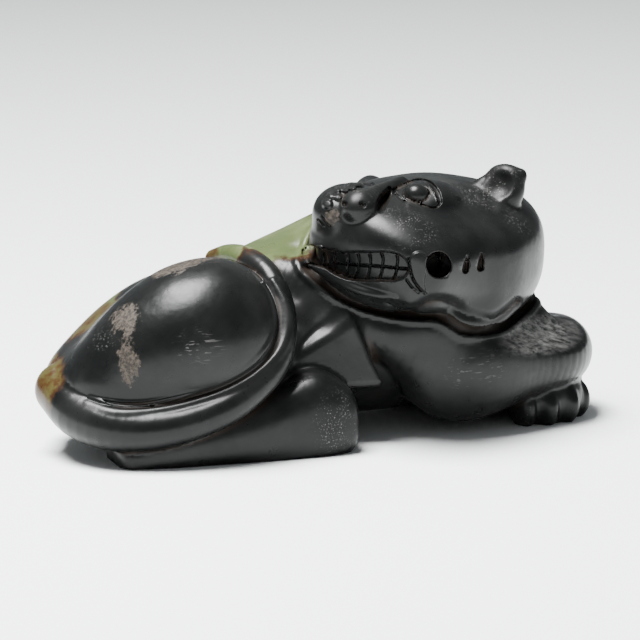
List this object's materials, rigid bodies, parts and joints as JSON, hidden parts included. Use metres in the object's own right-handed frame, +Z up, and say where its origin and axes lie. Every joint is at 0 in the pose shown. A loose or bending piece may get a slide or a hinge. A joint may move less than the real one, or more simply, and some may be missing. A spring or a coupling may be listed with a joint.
{
  "type": "recumbent tiger carving",
  "caption": "Small polished stone carving of a tiger lying with its head turned back over its shoulder, teeth bared and tail wrapped over the haunch.",
  "frame": {"origin": "on the ground under the middle of the carving's bounding box", "axes": "+X from the rump to the folded forelegs, +Y to the carving's left side, +Z up; the head looks back over the right shoulder, towards -Y"},
  "size_m": [0.0709, 0.037, 0.0318],
  "materials": {
    "dark_jade": "polished nearly black stone with patches of green and russet skin"
  },
  "bodies": {
    "root": {"tiger": "dark_jade"}
  },
  "joints": []
}
